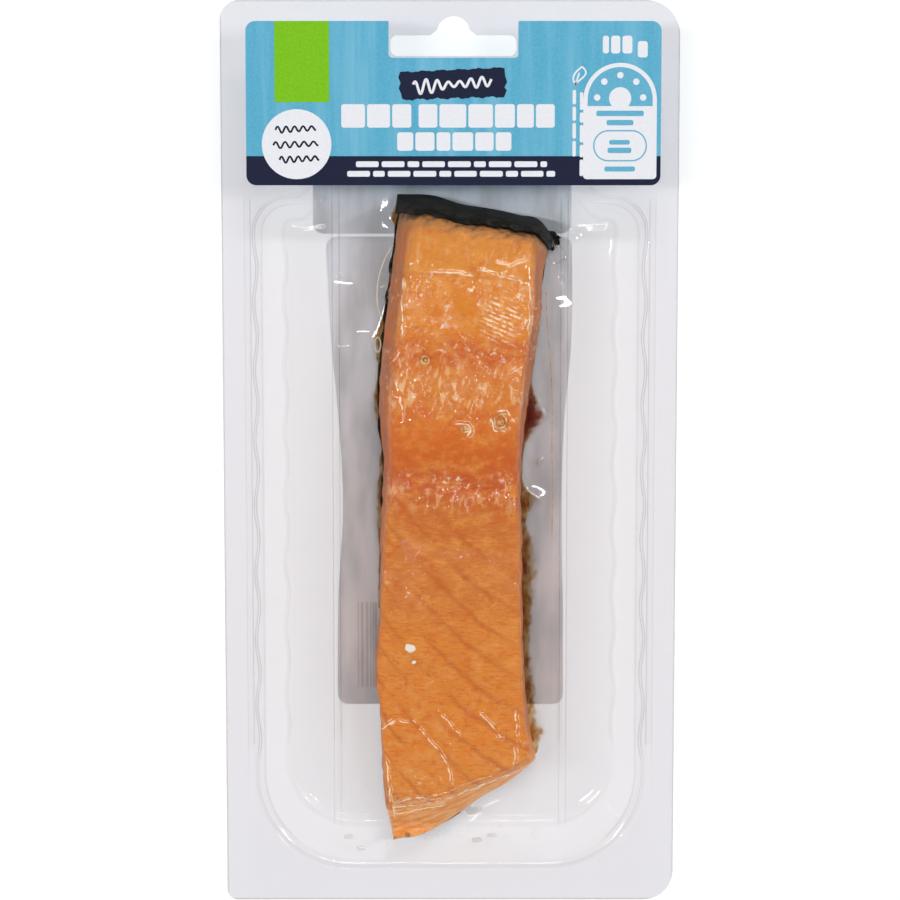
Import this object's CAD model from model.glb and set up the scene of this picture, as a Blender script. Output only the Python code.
"""Looks of the hot smoked salmon fillet in its clear hanging vacuum pack.

The pack lies on its back, with +Z out of its front and +Y at its head. Sizes here are in millimetres,
the same ones as in the CAD source, and MM turns them into metres as each mesh is made. Colours are
named by their display values, 0 to 255.
"""

import math

import bmesh
import bpy
import numpy as np
from mathutils import Matrix, Vector, noise

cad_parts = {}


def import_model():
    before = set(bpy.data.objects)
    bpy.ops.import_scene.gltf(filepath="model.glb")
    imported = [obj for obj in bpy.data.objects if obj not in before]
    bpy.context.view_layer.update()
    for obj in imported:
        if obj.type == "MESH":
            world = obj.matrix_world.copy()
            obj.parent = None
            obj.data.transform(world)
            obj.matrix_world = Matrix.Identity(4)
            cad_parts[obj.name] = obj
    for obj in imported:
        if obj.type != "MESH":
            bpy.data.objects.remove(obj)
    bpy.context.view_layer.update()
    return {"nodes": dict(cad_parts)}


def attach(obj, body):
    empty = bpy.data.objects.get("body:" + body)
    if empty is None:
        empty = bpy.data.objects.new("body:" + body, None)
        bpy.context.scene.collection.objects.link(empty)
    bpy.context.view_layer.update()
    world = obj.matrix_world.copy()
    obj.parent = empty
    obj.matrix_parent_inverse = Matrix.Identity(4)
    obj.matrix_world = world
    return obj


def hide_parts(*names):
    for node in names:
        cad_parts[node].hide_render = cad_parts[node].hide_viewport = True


MM = 0.001

# The pack's outline and its corners: top left, top right, bottom right, bottom left
PACK_WIDTH = 120.0
PACK_LENGTH = 240.0
PACK_CORNERS = (5.0, 9.0, 8.0, 3.0)
CORNER_STEPS = 12
TRIM = 4.0

# Sheets and levels
TRAY_SHEET = 0.5
FILM_SHEET = 0.25
FLOOR_TOP = 0.95
FLANGE_TOP = 22.0
SKIN_FOOT = 1.2
SKIN_THICKNESS = 1.2
SKIN_GAP = 0.25
FLESH_FOOT = 2.65

# The tub at its rim, its walls as distance in from the rim and level, and its flutes
TUB_HALF_WIDTH = 51.2
TUB_TOP = 68.5
TUB_BOTTOM = -110.6
TUB_RADIUS_TOP = 9.0
TUB_RADIUS_BOTTOM = 25.0
LOBE_RISE = 15.0
LOBE_HALF_WIDTH = 25.0
LOBE_SHOULDER = 16.0
FILM_LOBE_GAP = 6.0
TUB_PROFILE = ((-1.2, 22.0), (-0.3, 21.6), (0.6, 19.5), (5.6, 3.2), (7.6, 0.95))
FILM_PROFILE = ((0.2, 22.25), (1.1, 21.75), (2.0, 19.6), (6.9, 3.8), (9.2, 2.3))
WALL_REST = 0.8
FLUTE_PITCH = 18.0
FLUTE_DEPTH = 0.9
FLUTE_TOP = 59.0
FLUTE_BOTTOM = -85.0
RIB_X = 30.0
RIBS = ((-RIB_X, 50.0, -101.0), (RIB_X, 50.0, -91.0))
GROOVE_X = 53.4
GROOVE_TOP = 69.0
GROOVE_BOTTOM = -78.0
GROOVE_WIDTH = 1.4
GROOVE_DEPTH = 0.6

# The hanging slot
SLOT_X = 0.9
SLOT_HALF_WIDTH = 16.4
SLOT_BOTTOM = 105.6
SLOT_TOP = 110.9
SLOT_RADIUS = 1.8
DOME_TOP = 115.8
DOME_RADIUS = 4.3
DOME_FLARE = 1.8

# The fillet's four edges, the height of its face and how its edges round off
LEFT_EDGE = (
    (69.2, -13.2), (50.0, -15.7), (33.0, -17.8), (12.0, -19.2), (0.0, -18.1), (-20.0, -18.8),
    (-45.0, -19.4), (-59.5, -20.3), (-70.0, -19.2), (-88.0, -18.5), (-99.0, -17.4), (-106.2, -15.4),
)
RIGHT_EDGE = (
    (57.5, 26.9), (50.0, 25.2), (40.0, 24.6), (30.0, 23.4), (16.0, 21.3), (0.0, 19.5),
    (-20.0, 19.5), (-42.0, 19.7), (-62.0, 20.4), (-75.0, 21.7), (-85.5, 23.7),
)
TOP_EDGE = ((-13.2, 69.2), (-4.0, 68.8), (3.0, 66.6), (11.0, 65.2), (18.0, 63.6), (23.8, 61.8), (26.9, 57.5))
BOTTOM_EDGE = (
    (-15.4, -106.2), (-7.0, -105.2), (-1.4, -103.3), (3.5, -100.1), (7.4, -97.2), (17.3, -91.0),
    (23.7, -85.5),
)
FACE_HEIGHT = (
    (70.0, 25.0), (48.0, 26.6), (22.0, 27.5), (-8.0, 27.0), (-38.0, 25.8), (-65.0, 23.4), (-85.0, 20.2),
    (-110.0, 15.5),
)
CUT_EDGE = ((-15.5, -97.0), (0.0, -93.0), (13.5, -87.6), (21.0, -84.6), (25.0, -83.0))
CROWN = 1.3
LEFT_ROUNDING = ((0.0, 6.2), (0.3, 5.0), (0.45, 2.6), (0.55, 1.7), (1.0, 1.6))
RIGHT_ROUNDING = ((0.0, 4.6), (0.3, 3.4), (0.45, 2.0), (0.6, 1.6), (1.0, 1.6))
SIDE_POWER = 1.9
TOP_ROUNDING = 5.5
TOP_POWER = 2.2
BOTTOM_ROUNDING = (15.5, 5.0)
BOTTOM_POWER = 1.35
SKIN_LIP = 5.0
LIP_FADE = 4.0
SKIN_RIM = 2.9
SKIN_SIDE = 1.0

# Relief of the face: a fold's edge, a sunken band, a crease, and the seams between the flakes
FOLD_Y = 48.6
FOLD_DEPTH = 0.7
FOLD_FADE = 9.0
BAND_Y = 27.6
BAND_WIDTH = 4.0
BAND_DEPTH = 0.9
CREASE_Y = -6.6
CREASE_WIDTH = 2.0
CREASE_DEPTH = 0.8
ACROSS_SLOPE = -0.065
SEAM_FIRST_Y = -18.0
SEAM_PITCH = 9.2
SEAM_SLOPE = -0.98
SEAM_BEND = 0.012
SEAM_WIDTH = 0.8
SEAM_DEPTH = 0.25

# How finely the fillet, the film and the tray are divided
FLESH_COLUMNS = 130
FLESH_ROWS = 400
FILM_COLUMNS = 104
FILM_ROWS = 236
TRAY_AROUND = 760

# The camera, where the photograph was taken from
CAMERA_PLACE = (0.0, 88.0, 767.1)
CAMERA_TILT = -6.575
CAMERA_LENS = 113.2

# How many clear surfaces one ray of light may pass, and how often light bounces between matte ones
CLEAR_SURFACES = 32
MATTE_BOUNCES = 2


def along(stations, at):
    """The value at a place between stations, on one smooth curve through them all."""
    places, values = np.array(sorted(stations), float).T
    slopes = np.gradient(values, places)
    at = np.clip(np.asarray(at, float), places[0], places[-1])
    right = np.clip(np.searchsorted(places, at), 1, len(places) - 1)
    left = right - 1
    span = places[right] - places[left]
    t = (at - places[left]) / span
    rise = t * t * (3 - 2 * t)
    start = t * (1 - t) ** 2 * span * slopes[left]
    end = -t * t * (1 - t) * span * slopes[right]
    return values[left] * (1 - rise) + values[right] * rise + start + end


def smooth(value):
    """0 below 0, 1 above 1, and an even rise between them."""
    value = np.clip(value, 0.0, 1.0)
    return value * value * (3 - 2 * value)


def hill(distance, width):
    """1 at no distance, falling away smoothly over a width."""
    return np.exp(-((distance / width) ** 2))


def rounding(distance, width, power):
    """The share of full height at a distance in from an edge: a rounded shoulder of that width."""
    left = np.clip(1 - distance / width, 0.0, 1.0)
    return (1 - left**power) ** (1 / power)


def lumps(x, y, size, seed, stretch=1.0):
    """Smooth noise from about -1 to 1 over the plan, with lumps of a size and a length along Y."""
    points = zip(np.ravel(x) / size, np.ravel(y) / (size * stretch))
    values = [noise.noise((u, v, seed * 7.3)) for u, v in points]
    return np.reshape(values, np.shape(x))


def fillet_plan(across, along_share, side, top, bottom):
    """Plan position of a place on the fillet, blended from its four edges and grown outwards."""
    left_y = TOP_EDGE[0][1] + (BOTTOM_EDGE[0][1] - TOP_EDGE[0][1]) * along_share
    right_y = TOP_EDGE[-1][1] + (BOTTOM_EDGE[-1][1] - TOP_EDGE[-1][1]) * along_share
    top_x = TOP_EDGE[0][0] + (TOP_EDGE[-1][0] - TOP_EDGE[0][0]) * across
    bottom_x = BOTTOM_EDGE[0][0] + (BOTTOM_EDGE[-1][0] - BOTTOM_EDGE[0][0]) * across
    x = (1 - across) * along(LEFT_EDGE, left_y) + across * along(RIGHT_EDGE, right_y)
    y = (1 - along_share) * along(TOP_EDGE, top_x) + along_share * along(BOTTOM_EDGE, bottom_x)
    x = x + side * (2 * across - 1)
    y = y + top * (1 - along_share) - bottom * along_share
    return x, y


def fillet_width(along_share):
    """Width of the fillet at a share of its length."""
    left, _ = fillet_plan(0.0, along_share, 0.0, 0.0, 0.0)
    right, _ = fillet_plan(1.0, along_share, 0.0, 0.0, 0.0)
    return right - left


def fillet_length(across):
    """Length of the fillet at a share of its width."""
    left, right = (TOP_EDGE[side][1] - BOTTOM_EDGE[side][1] for side in (0, -1))
    return left + (right - left) * across


def lobe_rise(x):
    """How much further the tub reaches up the pack behind the front label."""
    return LOBE_RISE * smooth((LOBE_HALF_WIDTH + LOBE_SHOULDER - np.abs(x)) / LOBE_SHOULDER)


def corner_inset(across, up, radius):
    """Distance in from a rounded corner, from the distances in from its two sides."""
    u, v = np.maximum(radius - across, 0), np.maximum(radius - up, 0)
    return np.where(u * v > 0, radius - np.hypot(u, v), np.minimum(across, up))


def tub_inset(x, y):
    """Distance in from the tub's rim, with its top drawn narrower for the film."""
    across = TUB_HALF_WIDTH - np.abs(x)
    upper = corner_inset(across, TUB_TOP + lobe_rise(np.abs(x) + FILM_LOBE_GAP) - y, TUB_RADIUS_TOP)
    lower = corner_inset(across, y - TUB_BOTTOM, TUB_RADIUS_BOTTOM)
    return np.minimum(upper, lower)


def tub_level(profile, x, y, rest=0.0):
    """Level of a sheet of the tub at a place, floor or wall."""
    insets, levels = np.array(profile, float).T
    return np.interp(tub_inset(x, y) - rest, insets, levels)


def foot_level(x, y, foot):
    """Level of the fillet's underside, which rides up the end wall, from its level on the floor."""
    return foot + tub_level(TUB_PROFILE, x, y, WALL_REST) - FLOOR_TOP


def height_share(across, along_share):
    """Share of the full height at a place of the fillet's plan, from 0 at its border to 1 on its face."""
    width = fillet_width(along_share)
    length = fillet_length(across)
    left_width = along(LEFT_ROUNDING, along_share)
    right_width = along(RIGHT_ROUNDING, along_share)
    bottom_width = BOTTOM_ROUNDING[0] + (BOTTOM_ROUNDING[1] - BOTTOM_ROUNDING[0]) * across
    share = rounding(across * width, left_width, SIDE_POWER)
    share = share * rounding((1 - across) * width, right_width, SIDE_POWER)
    share = share * rounding(along_share * length, TOP_ROUNDING, TOP_POWER)
    return share * rounding((1 - along_share) * length, bottom_width, BOTTOM_POWER)


def fillet_height(across, along_share, y, foot):
    """Height of the smooth fillet over a place of its plan."""
    face = along(FACE_HEIGHT, y) - CROWN * (2 * across - 1) ** 2
    return foot + (face - foot) * height_share(across, along_share)


def seam_distance(x, y):
    """Distance up the pack from the nearest seam between two flakes."""
    drop = SEAM_FIRST_Y - (y - SEAM_SLOPE * x - SEAM_BEND * x * x)
    return drop - np.maximum(np.round(drop / SEAM_PITCH), 0) * SEAM_PITCH


def seam_mask(x, y):
    """1 along the seams between the flakes, below the crease."""
    wander = 1.2 * lumps(x, y, 6.0, 5) + 0.5 * lumps(x, y, 2.0, 17)
    broken = smooth(0.75 + 0.9 * lumps(x, y, 9.0, 8))
    return hill(seam_distance(x, y) + wander, SEAM_WIDTH) * smooth((CREASE_Y - y) / SEAM_PITCH) * broken


def main_relief(x, y):
    """Depth of the fold, the band and the crease, which the film follows."""
    wave = 0.8 * np.sin(x / 5.0)
    fold = y - (FOLD_Y + ACROSS_SLOPE * x)
    depth = FOLD_DEPTH * smooth((FOLD_FADE - np.abs(fold)) / FOLD_FADE) * smooth(0.5 - fold)
    depth = depth + BAND_DEPTH * hill(y - (BAND_Y + ACROSS_SLOPE * x) + wave, BAND_WIDTH)
    return depth + CREASE_DEPTH * hill(y - (CREASE_Y + ACROSS_SLOPE * x) + wave, CREASE_WIDTH)


def lip_drop(across, along_share):
    """How much of the skin's thickness the flesh gives way to, near the dorsal end."""
    return smooth((SKIN_LIP + LIP_FADE - along_share * fillet_length(across)) / LIP_FADE)


def inward(across, along_share):
    """0 on the fillet's border and 1 in from it."""
    return smooth(8 * across * (1 - across)) * smooth(30 * along_share * (1 - along_share))


def packed(share, strength):
    """Even shares moved towards both ends, where the sides are steep."""
    return share - strength * np.sin(2 * np.pi * share) / (2 * np.pi)


def mesh_object(name, bm, material):
    """Turns a bmesh in millimetres into an object in the scene."""
    bmesh.ops.scale(bm, vec=(MM,) * 3, verts=bm.verts)
    mesh = bpy.data.meshes.new(name)
    bm.to_mesh(mesh)
    bm.free()
    obj = bpy.data.objects.new(name, mesh)
    bpy.context.scene.collection.objects.link(obj)
    mesh.materials.append(material)
    return obj


def add_object(name, bm, material):
    """Turns a bmesh in millimetres into a smooth object that rides on the pack."""
    obj = mesh_object(name, bm, material)
    obj.data.shade_smooth()
    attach(obj, "root")
    return obj


def raise_faces(bm, faces, height):
    """Extrudes faces straight up by a height."""
    grown = bmesh.ops.extrude_face_region(bm, geom=faces)
    risen = [v for v in grown["geom"] if isinstance(v, bmesh.types.BMVert)]
    bmesh.ops.translate(bm, vec=(0, 0, height), verts=risen)


def mapped_grid(columns, rows, place):
    """A grid of faces whose points are put by place(across, along), with both shares from 0 to 1."""
    bm = bmesh.new()
    bmesh.ops.create_grid(bm, x_segments=columns, y_segments=rows, size=0.5)
    shares = np.array([vert.co[:2] for vert in bm.verts]) + 0.5
    xyz = np.stack(place(shares[:, 0], 1 - shares[:, 1]), axis=1)
    for vert, co in zip(bm.verts, xyz):
        vert.co = co
    return bm


def merge(bm, distance=1e-4):
    """Merges doubles and turns every face outwards."""
    bmesh.ops.remove_doubles(bm, verts=bm.verts, dist=distance)
    bmesh.ops.recalc_face_normals(bm, faces=bm.faces)


def border_edges(bm):
    """The edges round the open border of a bmesh."""
    return [edge for edge in bm.edges if edge.is_boundary]


def keep_attribute(obj, name, values):
    """Stores one number for each point of an object's mesh, for its material."""
    layer = obj.data.attributes.new(name, "FLOAT", "POINT")
    layer.data.foreach_set("value", np.asarray(values, np.float32))


def mesh_points(obj):
    """The points of an object's mesh, in millimetres."""
    points = np.empty(len(obj.data.vertices) * 3)
    obj.data.vertices.foreach_get("co", points)
    return points.reshape(-1, 3) / MM


def finish_modifiers(obj):
    """Applies an object's modifiers to its mesh."""
    graph = bpy.context.evaluated_depsgraph_get()
    made = bpy.data.meshes.new_from_object(obj.evaluated_get(graph))
    obj.modifiers.clear()
    obj.data = made


def boolean(obj, other, operation):
    """Applies one Boolean of two objects and removes the second."""
    modifier = obj.modifiers.new(operation, "BOOLEAN")
    modifier.operation = operation
    modifier.solver = "EXACT"
    modifier.object = other
    finish_modifiers(obj)
    bpy.data.objects.remove(other)


def thicken(obj, thickness, offset, even=True):
    """Gives a sheet its thickness, along its normals for offset 1 and against them for -1."""
    modifier = obj.modifiers.new("thickness", "SOLIDIFY")
    modifier.thickness = thickness * MM
    modifier.offset = offset
    modifier.use_even_offset = even
    finish_modifiers(obj)


def arc(centre_x, centre_y, radius, start, end, steps=CORNER_STEPS):
    """Points along an arc, with its angles in degrees."""
    turns = [math.radians(start + (end - start) * k / steps) for k in range(steps + 1)]
    return [(centre_x + radius * math.cos(a), centre_y + radius * math.sin(a)) for a in turns]


def rounded_box(left, right, bottom, top, radii):
    """Outline of a rectangle, with radii for its top left, top right, bottom right and bottom left."""
    top_left, top_right, bottom_right, bottom_left = radii
    return (
        arc(right - top_right, top - top_right, top_right, 0, 90)
        + arc(left + top_left, top - top_left, top_left, 90, 180)
        + arc(left + bottom_left, bottom + bottom_left, bottom_left, 180, 270)
        + arc(right - bottom_right, bottom + bottom_right, bottom_right, 270, 360)
    )


def pack_outline():
    """Outline of the tray's flange and of the film."""
    half, end = PACK_WIDTH / 2, PACK_LENGTH / 2
    return rounded_box(-half, half, -end, end, PACK_CORNERS)


def slot_outline(grow=0.0):
    """A bar with round ends and a flared dome over its middle, grown outwards by a little."""
    left, right = SLOT_X - SLOT_HALF_WIDTH - grow, SLOT_X + SLOT_HALF_WIDTH + grow
    bottom, top = SLOT_BOTTOM - grow, SLOT_TOP + grow
    dome_y = DOME_TOP - DOME_RADIUS
    flare = DOME_RADIUS + DOME_FLARE + grow
    return (
        arc(right - SLOT_RADIUS, bottom + SLOT_RADIUS, SLOT_RADIUS, 270, 360)
        + arc(right - SLOT_RADIUS, top - SLOT_RADIUS, SLOT_RADIUS, 0, 90)
        + [(SLOT_X + flare, top)]
        + arc(SLOT_X, dome_y, DOME_RADIUS + grow, 10, 170, 20)
        + [(SLOT_X - flare, top)]
        + arc(left + SLOT_RADIUS, top - SLOT_RADIUS, SLOT_RADIUS, 90, 180)
        + arc(left + SLOT_RADIUS, bottom + SLOT_RADIUS, SLOT_RADIUS, 180, 270)
    )


def plate_bmesh(outlines, low, high):
    """Flat plates of one or more outlines between two levels."""
    bm = bmesh.new()
    for outline in outlines:
        face = bm.faces.new([bm.verts.new((x, y, low)) for x, y in outline])
        raise_faces(bm, [face], high - low)
    bmesh.ops.recalc_face_normals(bm, faces=bm.faces)
    return bm


def plates(name, outlines, low, high, material):
    """An object of flat plates, with flat faces."""
    obj = add_object(name, plate_bmesh(outlines, low, high), material)
    obj.data.shade_flat()
    return obj


def trim_to_pack(sheet, material):
    """Cuts a sheet to the pack's outline and punches the hanging slot."""
    low, high = -TRIM, FLANGE_TOP + 4 * TRIM
    boolean(sheet, plates("outline_cutter", [pack_outline()], low, high, material), "INTERSECT")
    boolean(sheet, plates("slot_cutter", [slot_outline()], low, high, material), "DIFFERENCE")


def shade_by_angle(obj, degrees):
    """Smooth faces, with sharp edges where they turn by more than an angle."""
    obj.data.shade_smooth()
    obj.data.set_sharp_from_angle(angle=math.radians(degrees))


# Materials

# How fine the grain of paper is
GRAIN_SCALE = 1.6

# Share of light that clear plastic mirrors face on and, added to it, at its rims, and what the film
# over the fish mirrors on its face and down its sides
FACE_GLOSS = 0.02
RIM_GLOSS = 0.1
FISH_GLOSS = 0.018
SIDE_GLOSS = 0.002

# Tints of the clear plastic: each sheet's own, where it is sealed on the flange, and at tight bends
WHITE = (1, 1, 1, 1)
FILM_TINT = (0.98, 0.979, 0.982, 1)
FILM_SEALED = (0.97, 0.967, 0.975, 1)
TRAY_TINT = (0.897, 0.894, 0.904, 1)
TRAY_SEALED = (0.915, 0.912, 0.924, 1)
BEND_TINT = (0.7, 0.69, 0.69, 1)

# The pale marks that stand for glints on the film's creases: display colour and share of cover
GLINT_COLOUR = (255, 236, 206)
GLINT_SHARE = 0.62


def display(red, green, blue):
    """A colour from its display values, as the shader takes it."""
    values = [channel / 255 for channel in (red, green, blue)]
    return tuple(v / 12.92 if v <= 0.04045 else ((v + 0.055) / 1.055) ** 2.4 for v in values) + (1.0,)


def new_material(name):
    """An empty node material and its tree."""
    material = bpy.data.materials.new(name)
    material.use_nodes = True
    material.node_tree.nodes.clear()
    return material, material.node_tree


def add_node(tree, kind, inputs=None, **settings):
    """A node with its settings, and inputs that are values or other nodes' outputs."""
    node = tree.nodes.new("ShaderNode" + kind)
    for key, value in settings.items():
        setattr(node, key, value)
    for key, value in (inputs or {}).items():
        if isinstance(value, bpy.types.NodeSocket):
            tree.links.new(value, node.inputs[key])
        else:
            node.inputs[key].default_value = value
    return node


def compute(tree, operation, *values):
    """The result of a Math node."""
    return add_node(tree, "Math", dict(enumerate(values)), operation=operation).outputs[0]


def millimetres(tree, scale=(1.0, 1.0, 1.0), turn=0.0):
    """Object coordinates in millimetres, stretched and turned about Z for a pattern."""
    place = add_node(tree, "TexCoord").outputs["Object"]
    size = tuple(1 / MM * s for s in scale)
    turned = add_node(tree, "Mapping", {"Vector": place, "Rotation": (0, 0, math.radians(turn))})
    return add_node(tree, "Mapping", {"Vector": turned.outputs[0], "Scale": size}).outputs[0]


def mask_from(tree, value, low, high):
    """0 where a value is at low and 1 where it is at high, smoothly."""
    limits = {"Value": value, "From Min": low, "From Max": high}
    return add_node(tree, "MapRange", limits, interpolation_type="SMOOTHSTEP").outputs[0]


def multiply(tree, first, second):
    """One mask times another."""
    return compute(tree, "MULTIPLY", first, second)


def larger(tree, first, second):
    """The larger of two masks."""
    return compute(tree, "MAXIMUM", first, second)


def near_value(tree, value, centre, width):
    """1 where a value is at a centre, falling to 0 at a width from it."""
    away = compute(tree, "ABSOLUTE", compute(tree, "SUBTRACT", value, centre))
    return mask_from(tree, away, width, 0.0)


def between(tree, value, low, high, fade):
    """1 where a value is between two limits, falling to 0 at them."""
    risen, fallen = mask_from(tree, value, low, low + fade), mask_from(tree, value, high, high - fade)
    return multiply(tree, risen, fallen)


def blend_colour(tree, mask, under, over):
    """One colour laid over another through a mask."""
    return add_node(tree, "Mix", {0: mask, 6: under, 7: over}, data_type="RGBA").outputs[2]


def attribute(tree, name):
    """A number that the mesh carries at each point."""
    return add_node(tree, "Attribute", attribute_name=name).outputs["Fac"]


def output(tree, shader):
    """The material's output."""
    tree.links.new(shader, add_node(tree, "OutputMaterial").inputs["Surface"])


def noise_value(tree, vector, scale, detail=2.0, roughness=0.5):
    """Noise from 0 to 1 over a vector."""
    inputs = {"Vector": vector, "Scale": scale, "Detail": detail, "Roughness": roughness}
    return add_node(tree, "TexNoise", inputs).outputs["Fac"]


# Colours of the face from its dorsal end down, by place up the pack
FACE_COLOURS = (
    (67.0, (200, 130, 66)),
    (58.0, (214, 138, 62)),
    (50.0, (216, 136, 54)),
    (44.0, (217, 131, 44)),
    (34.0, (217, 129, 42)),
    (27.6, (204, 106, 44)),
    (20.0, (212, 128, 58)),
    (8.0, (211, 110, 40)),
    (-5.0, (196, 94, 38)),
    (-14.0, (200, 114, 52)),
    (-32.0, (206, 122, 58)),
    (-52.0, (219, 132, 56)),
    (-76.0, (224, 130, 45)),
    (-90.0, (224, 138, 56)),
    (-100.0, (226, 158, 92)),
)


def face_ramp(tree):
    """The face's colour at each place up the pack."""
    top, bottom = FACE_COLOURS[0][0], FACE_COLOURS[-1][0]
    wander = compute(tree, "ADD", noise_value(tree, millimetres(tree), 0.12), -0.5)
    shift = multiply(tree, wander, 12.0)
    place = add_node(tree, "SeparateXYZ", {"Vector": millimetres(tree)}).outputs["Y"]
    moved = compute(tree, "ADD", place, shift)
    limits = {"Value": moved, "From Min": top, "From Max": bottom}
    share = add_node(tree, "MapRange", limits).outputs[0]
    ramp = add_node(tree, "ValToRGB", {"Fac": share})
    ramp.color_ramp.interpolation = "EASE"
    elements = ramp.color_ramp.elements
    last = len(FACE_COLOURS) - 1
    for k, (y, colour) in enumerate(FACE_COLOURS):
        spot = (top - y) / (top - bottom)
        if k in (0, last):
            element = elements[-1 if k else 0]
        else:
            element = elements.new(spot)
        element.position = spot
        element.color = display(*colour)
    return ramp.outputs["Color"]


def flesh_material():
    """Moist hot smoked salmon: flake seams, fine fibres, pale flecks and a browner cut side."""
    material, tree = new_material("salmon_flesh")
    colour = face_ramp(tree)
    cloud = noise_value(tree, millimetres(tree, (1.0, 1.3, 1.0)), 0.22, 4.0, 0.6)
    mask = multiply(tree, mask_from(tree, cloud, 0.42, 0.72), 0.75)
    colour = blend_colour(tree, mask, colour, display(226, 150, 72))
    deep = noise_value(tree, millimetres(tree, (1.0, 0.8, 1.0)), 0.35, 4.0, 0.65)
    mask = multiply(tree, mask_from(tree, deep, 0.5, 0.72), 0.55)
    colour = blend_colour(tree, mask, colour, display(200, 92, 40))
    fibrous = attribute(tree, "fibrous")
    fibres = noise_value(tree, millimetres(tree, (0.42, 1.7, 0.8), 6.0), 1.0, 4.0, 0.65)
    mask = multiply(tree, mask_from(tree, fibres, 0.5, 0.66), multiply(tree, fibrous, 0.5))
    colour = blend_colour(tree, mask, colour, display(196, 94, 34))
    pale_fibres = noise_value(tree, millimetres(tree, (0.36, 1.5, 0.6), -4.0), 1.1, 3.0, 0.6)
    mask = multiply(tree, mask_from(tree, pale_fibres, 0.52, 0.7), multiply(tree, fibrous, 0.3))
    colour = blend_colour(tree, mask, colour, display(232, 162, 84))
    seams = multiply(tree, attribute(tree, "seam"), 0.6)
    colour = blend_colour(tree, seams, colour, display(186, 90, 40))
    red_spots = noise_value(tree, millimetres(tree, (1.0, 1.2, 1.0)), 0.42, 3.0, 0.6)
    mask = multiply(tree, mask_from(tree, red_spots, 0.45, 0.6), attribute(tree, "reddish"))
    colour = blend_colour(tree, multiply(tree, mask, 0.7), colour, display(192, 82, 32))
    flecks = noise_value(tree, millimetres(tree, (0.9, 0.34, 0.8), 6.0), 0.75, 2.5, 0.6)
    mask = multiply(tree, mask_from(tree, flecks, 0.53, 0.64), attribute(tree, "pale"))
    colour = blend_colour(tree, multiply(tree, mask, 0.75), colour, display(232, 188, 136))
    grey = noise_value(tree, millimetres(tree, (1.6, 0.14, 0.3)), 0.8, 3.0, 0.6)
    side = attribute(tree, "side")
    colour = blend_colour(tree, multiply(tree, side, 0.7), colour, display(174, 90, 40))
    mask = multiply(tree, mask_from(tree, grey, 0.46, 0.62), multiply(tree, attribute(tree, "dried"), 0.7))
    colour = blend_colour(tree, mask, colour, display(146, 104, 86))
    edge = noise_value(tree, millimetres(tree, (0.35, 1.0, 1.0), -24.0), 0.7, 3.0, 0.6)
    brown = compute(tree, "MULTIPLY_ADD", edge, 1.8, attribute(tree, "brown"))
    colour = blend_colour(tree, mask_from(tree, brown, 1.1, 1.7), colour, display(176, 120, 72))
    mask = multiply(tree, mask_from(tree, brown, 1.62, 2.15), 0.8)
    colour = blend_colour(tree, mask, colour, display(70, 54, 38))
    layers = noise_value(tree, millimetres(tree, (0.25, 1.2, 0.5), -22.0), 0.8, 3.0, 0.55)
    mask = mask_from(tree, layers, 0.4, 0.62)
    cut = blend_colour(tree, mask, display(246, 180, 118), display(232, 146, 72))
    colour = blend_colour(tree, attribute(tree, "cut"), colour, cut)
    relief = compute(tree, "ADD", fibres, cloud)
    bump = add_node(tree, "Bump", {"Height": relief, "Strength": 0.35, "Distance": 0.0004})
    shader = add_node(tree, "BsdfPrincipled", {
        "Base Color": colour,
        "Normal": bump.outputs[0],
        "Roughness": 0.5,
        "Specular IOR Level": 0.12,
        "Subsurface Weight": 0.1,
        "Subsurface Radius": (1.0, 0.35, 0.12),
        "Subsurface Scale": 0.0016,
    })
    output(tree, shader.outputs[0])
    return material


def skin_material():
    """Dark, wet fish skin, finely wrinkled."""
    material, tree = new_material("salmon_skin")
    grain = noise_value(tree, millimetres(tree, (0.35, 1.0, 1.0), 12.0), 0.8, 5.0, 0.65)
    colour = blend_colour(tree, mask_from(tree, grain, 0.4, 0.75), display(20, 19, 17), display(56, 52, 46))
    bump = add_node(tree, "Bump", {"Height": grain, "Strength": 0.8, "Distance": 0.0008})
    shader = add_node(tree, "BsdfPrincipled", {
        "Base Color": colour, "Normal": bump.outputs[0], "Roughness": 0.6, "Specular IOR Level": 0.06,
    })
    output(tree, shader.outputs[0])
    return material


def shared_mask(tree, name, values, build):
    """A mask that several materials use, from a node group with named inputs that is made once."""
    group = bpy.data.node_groups.get(name)
    if group is None:
        group = bpy.data.node_groups.new(name, "ShaderNodeTree")
        for title in values:
            group.interface.new_socket(title, in_out="INPUT", socket_type="NodeSocketFloat")
        group.interface.new_socket("Mask", in_out="OUTPUT", socket_type="NodeSocketFloat")
        start = group.nodes.new("NodeGroupInput")
        end = group.nodes.new("NodeGroupOutput")
        group.links.new(build(group, start.outputs), end.inputs["Mask"])
    return add_node(tree, "Group", values, node_tree=group).outputs["Mask"]


def above_level(tree, given):
    """Inside the plastic's group: 0 below a low level and 1 above a high one, in millimetres."""
    level = add_node(tree, "SeparateXYZ", {"Vector": millimetres(tree)}).outputs["Z"]
    return mask_from(tree, level, given["Low"], given["High"])


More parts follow.
